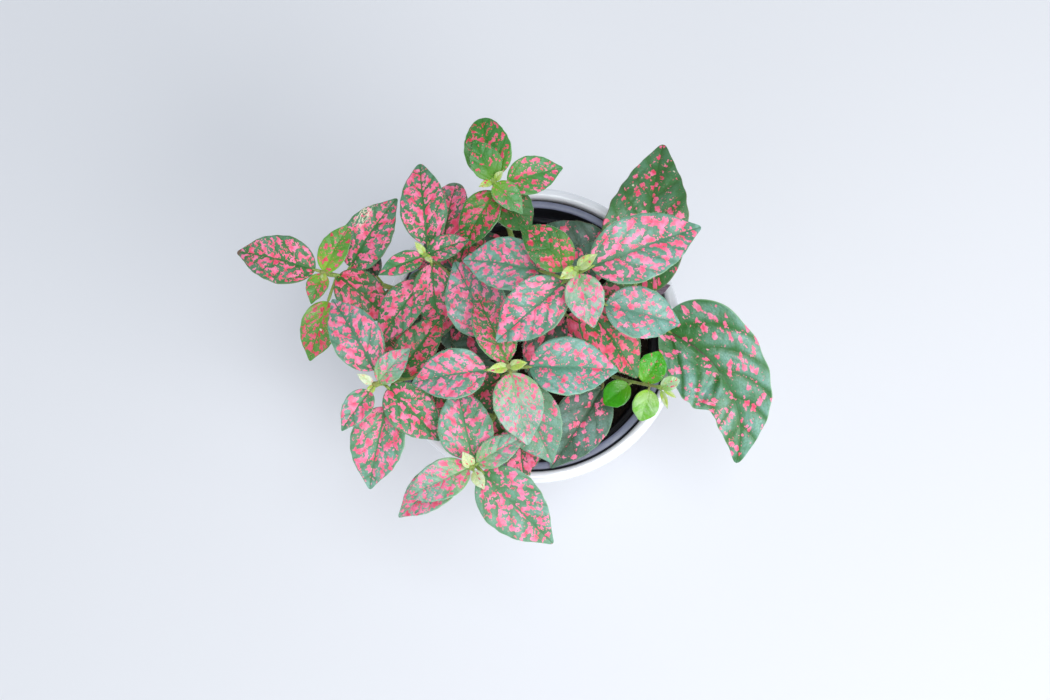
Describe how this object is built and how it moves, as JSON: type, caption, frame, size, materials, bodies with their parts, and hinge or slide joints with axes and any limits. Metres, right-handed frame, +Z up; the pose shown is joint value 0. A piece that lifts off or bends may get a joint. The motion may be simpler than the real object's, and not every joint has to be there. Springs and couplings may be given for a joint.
{
  "type": "potted polka dot plant",
  "caption": "Leafy house plant with pink-spotted green leaves on thin stems, in a black nursery pot set inside a plain white glazed tapering cachepot.",
  "frame": {"origin": "centre of the cachepot's flat foot, on the surface it stands on", "axes": "+Z up along the pots' common axis; +X and +Y are level, +Y away from a viewer standing in front, with the two large old leaves towards +X"},
  "size_m": [0.219, 0.1714, 0.2196],
  "materials": {
    "white_glaze": "gloss",
    "black_plastic": "satin",
    "potting_soil": "matte",
    "foliage": "satin"
  },
  "bodies": {
    "root": {"cachepot": "white_glaze", "nursery_pot": "black_plastic", "soil": "potting_soil", "shoot_north": "foliage", "shoot_west": "foliage", "shoot_north_west": "foliage", "shoot_east": "foliage", "shoot_middle": "foliage", "shoot_south_west": "foliage", "shoot_south": "foliage", "shoot_sprig": "foliage", "shoot_old": "foliage"}
  },
  "joints": []
}
